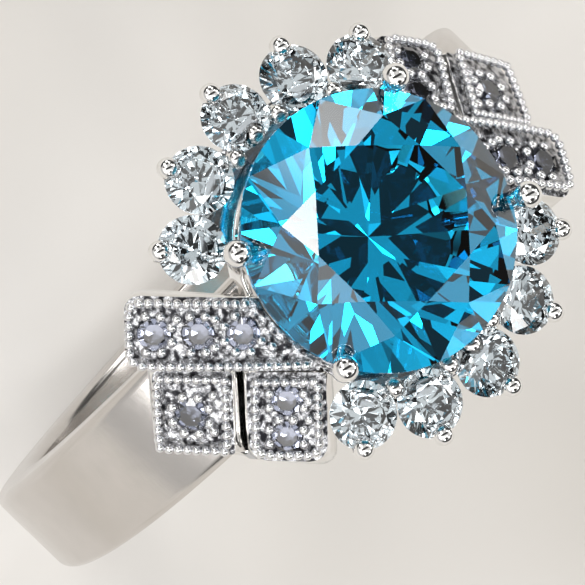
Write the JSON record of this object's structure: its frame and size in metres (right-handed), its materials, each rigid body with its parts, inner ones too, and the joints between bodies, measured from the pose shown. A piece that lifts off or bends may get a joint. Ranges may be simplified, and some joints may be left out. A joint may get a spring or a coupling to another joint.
{
  "type": "cocktail ring",
  "caption": "Silver cocktail ring: a large sky-blue round brilliant in a four-claw basket, arcs of white stones front and back, and milgrain-edged bar and square panels on the shoulders.",
  "frame": {"origin": "centre of the finger bore, on its axis, half way across the band", "axes": "+Y along the finger, +Z from the finger to the centre stone, X across the shoulders"},
  "size_m": [0.0215, 0.014, 0.0262],
  "materials": {
    "silver": "polished, bright white metal",
    "sky_blue_stone": "faceted, polished",
    "white_stone": "faceted, polished"
  },
  "bodies": {
    "root": {"arc_gallery_back": "silver", "arc_gallery_front": "silver", "arc_inner_claws_back": "silver", "arc_inner_claws_front": "silver", "arc_outer_claws_back": "silver", "arc_outer_claws_front": "silver", "arc_stone_back_1": "white_stone", "arc_stone_back_2": "white_stone", "arc_stone_back_3": "white_stone", "arc_stone_back_4": "white_stone", "arc_stone_back_5": "white_stone", "arc_stone_front_1": "white_stone", "arc_stone_front_2": "white_stone", "arc_stone_front_3": "white_stone", "arc_stone_front_4": "white_stone", "arc_stone_front_5": "white_stone", "arc_struts_back": "silver", "arc_struts_front": "silver", "bar_grains_left": "silver", "bar_grains_right": "silver", "bar_milgrain_left": "silver", "bar_milgrain_right": "silver", "bar_stone_left_1": "white_stone", "bar_stone_left_2": "white_stone", "bar_stone_left_3": "white_stone", "bar_stone_right_1": "white_stone", "bar_stone_right_2": "white_stone", "bar_stone_right_3": "white_stone", "bar_tray_left": "silver", "bar_tray_right": "silver", "basket_lower_rail": "silver", "basket_upper_rail": "silver", "centre_stone": "sky_blue_stone", "claw_left_back": "silver", "claw_left_front": "silver", "claw_right_back": "silver", "claw_right_front": "silver", "inner_square_grains_left": "silver", "inner_square_grains_right": "silver", "inner_square_milgrain_left": "silver", "inner_square_milgrain_right": "silver", "inner_square_stone_left_1": "white_stone", "inner_square_stone_left_2": "white_stone", "inner_square_stone_right_1": "white_stone", "inner_square_stone_right_2": "white_stone", "inner_square_tray_left": "silver", "inner_square_tray_right": "silver", "outer_square_grains_left": "silver", "outer_square_grains_right": "silver", "outer_square_milgrain_left": "silver", "outer_square_milgrain_right": "silver", "outer_square_stone_left_1": "white_stone", "outer_square_stone_right_1": "white_stone", "outer_square_tray_left": "silver", "outer_square_tray_right": "silver", "shank": "silver", "shoulder_saddle_left": "silver", "shoulder_saddle_right": "silver"}
  },
  "joints": []
}
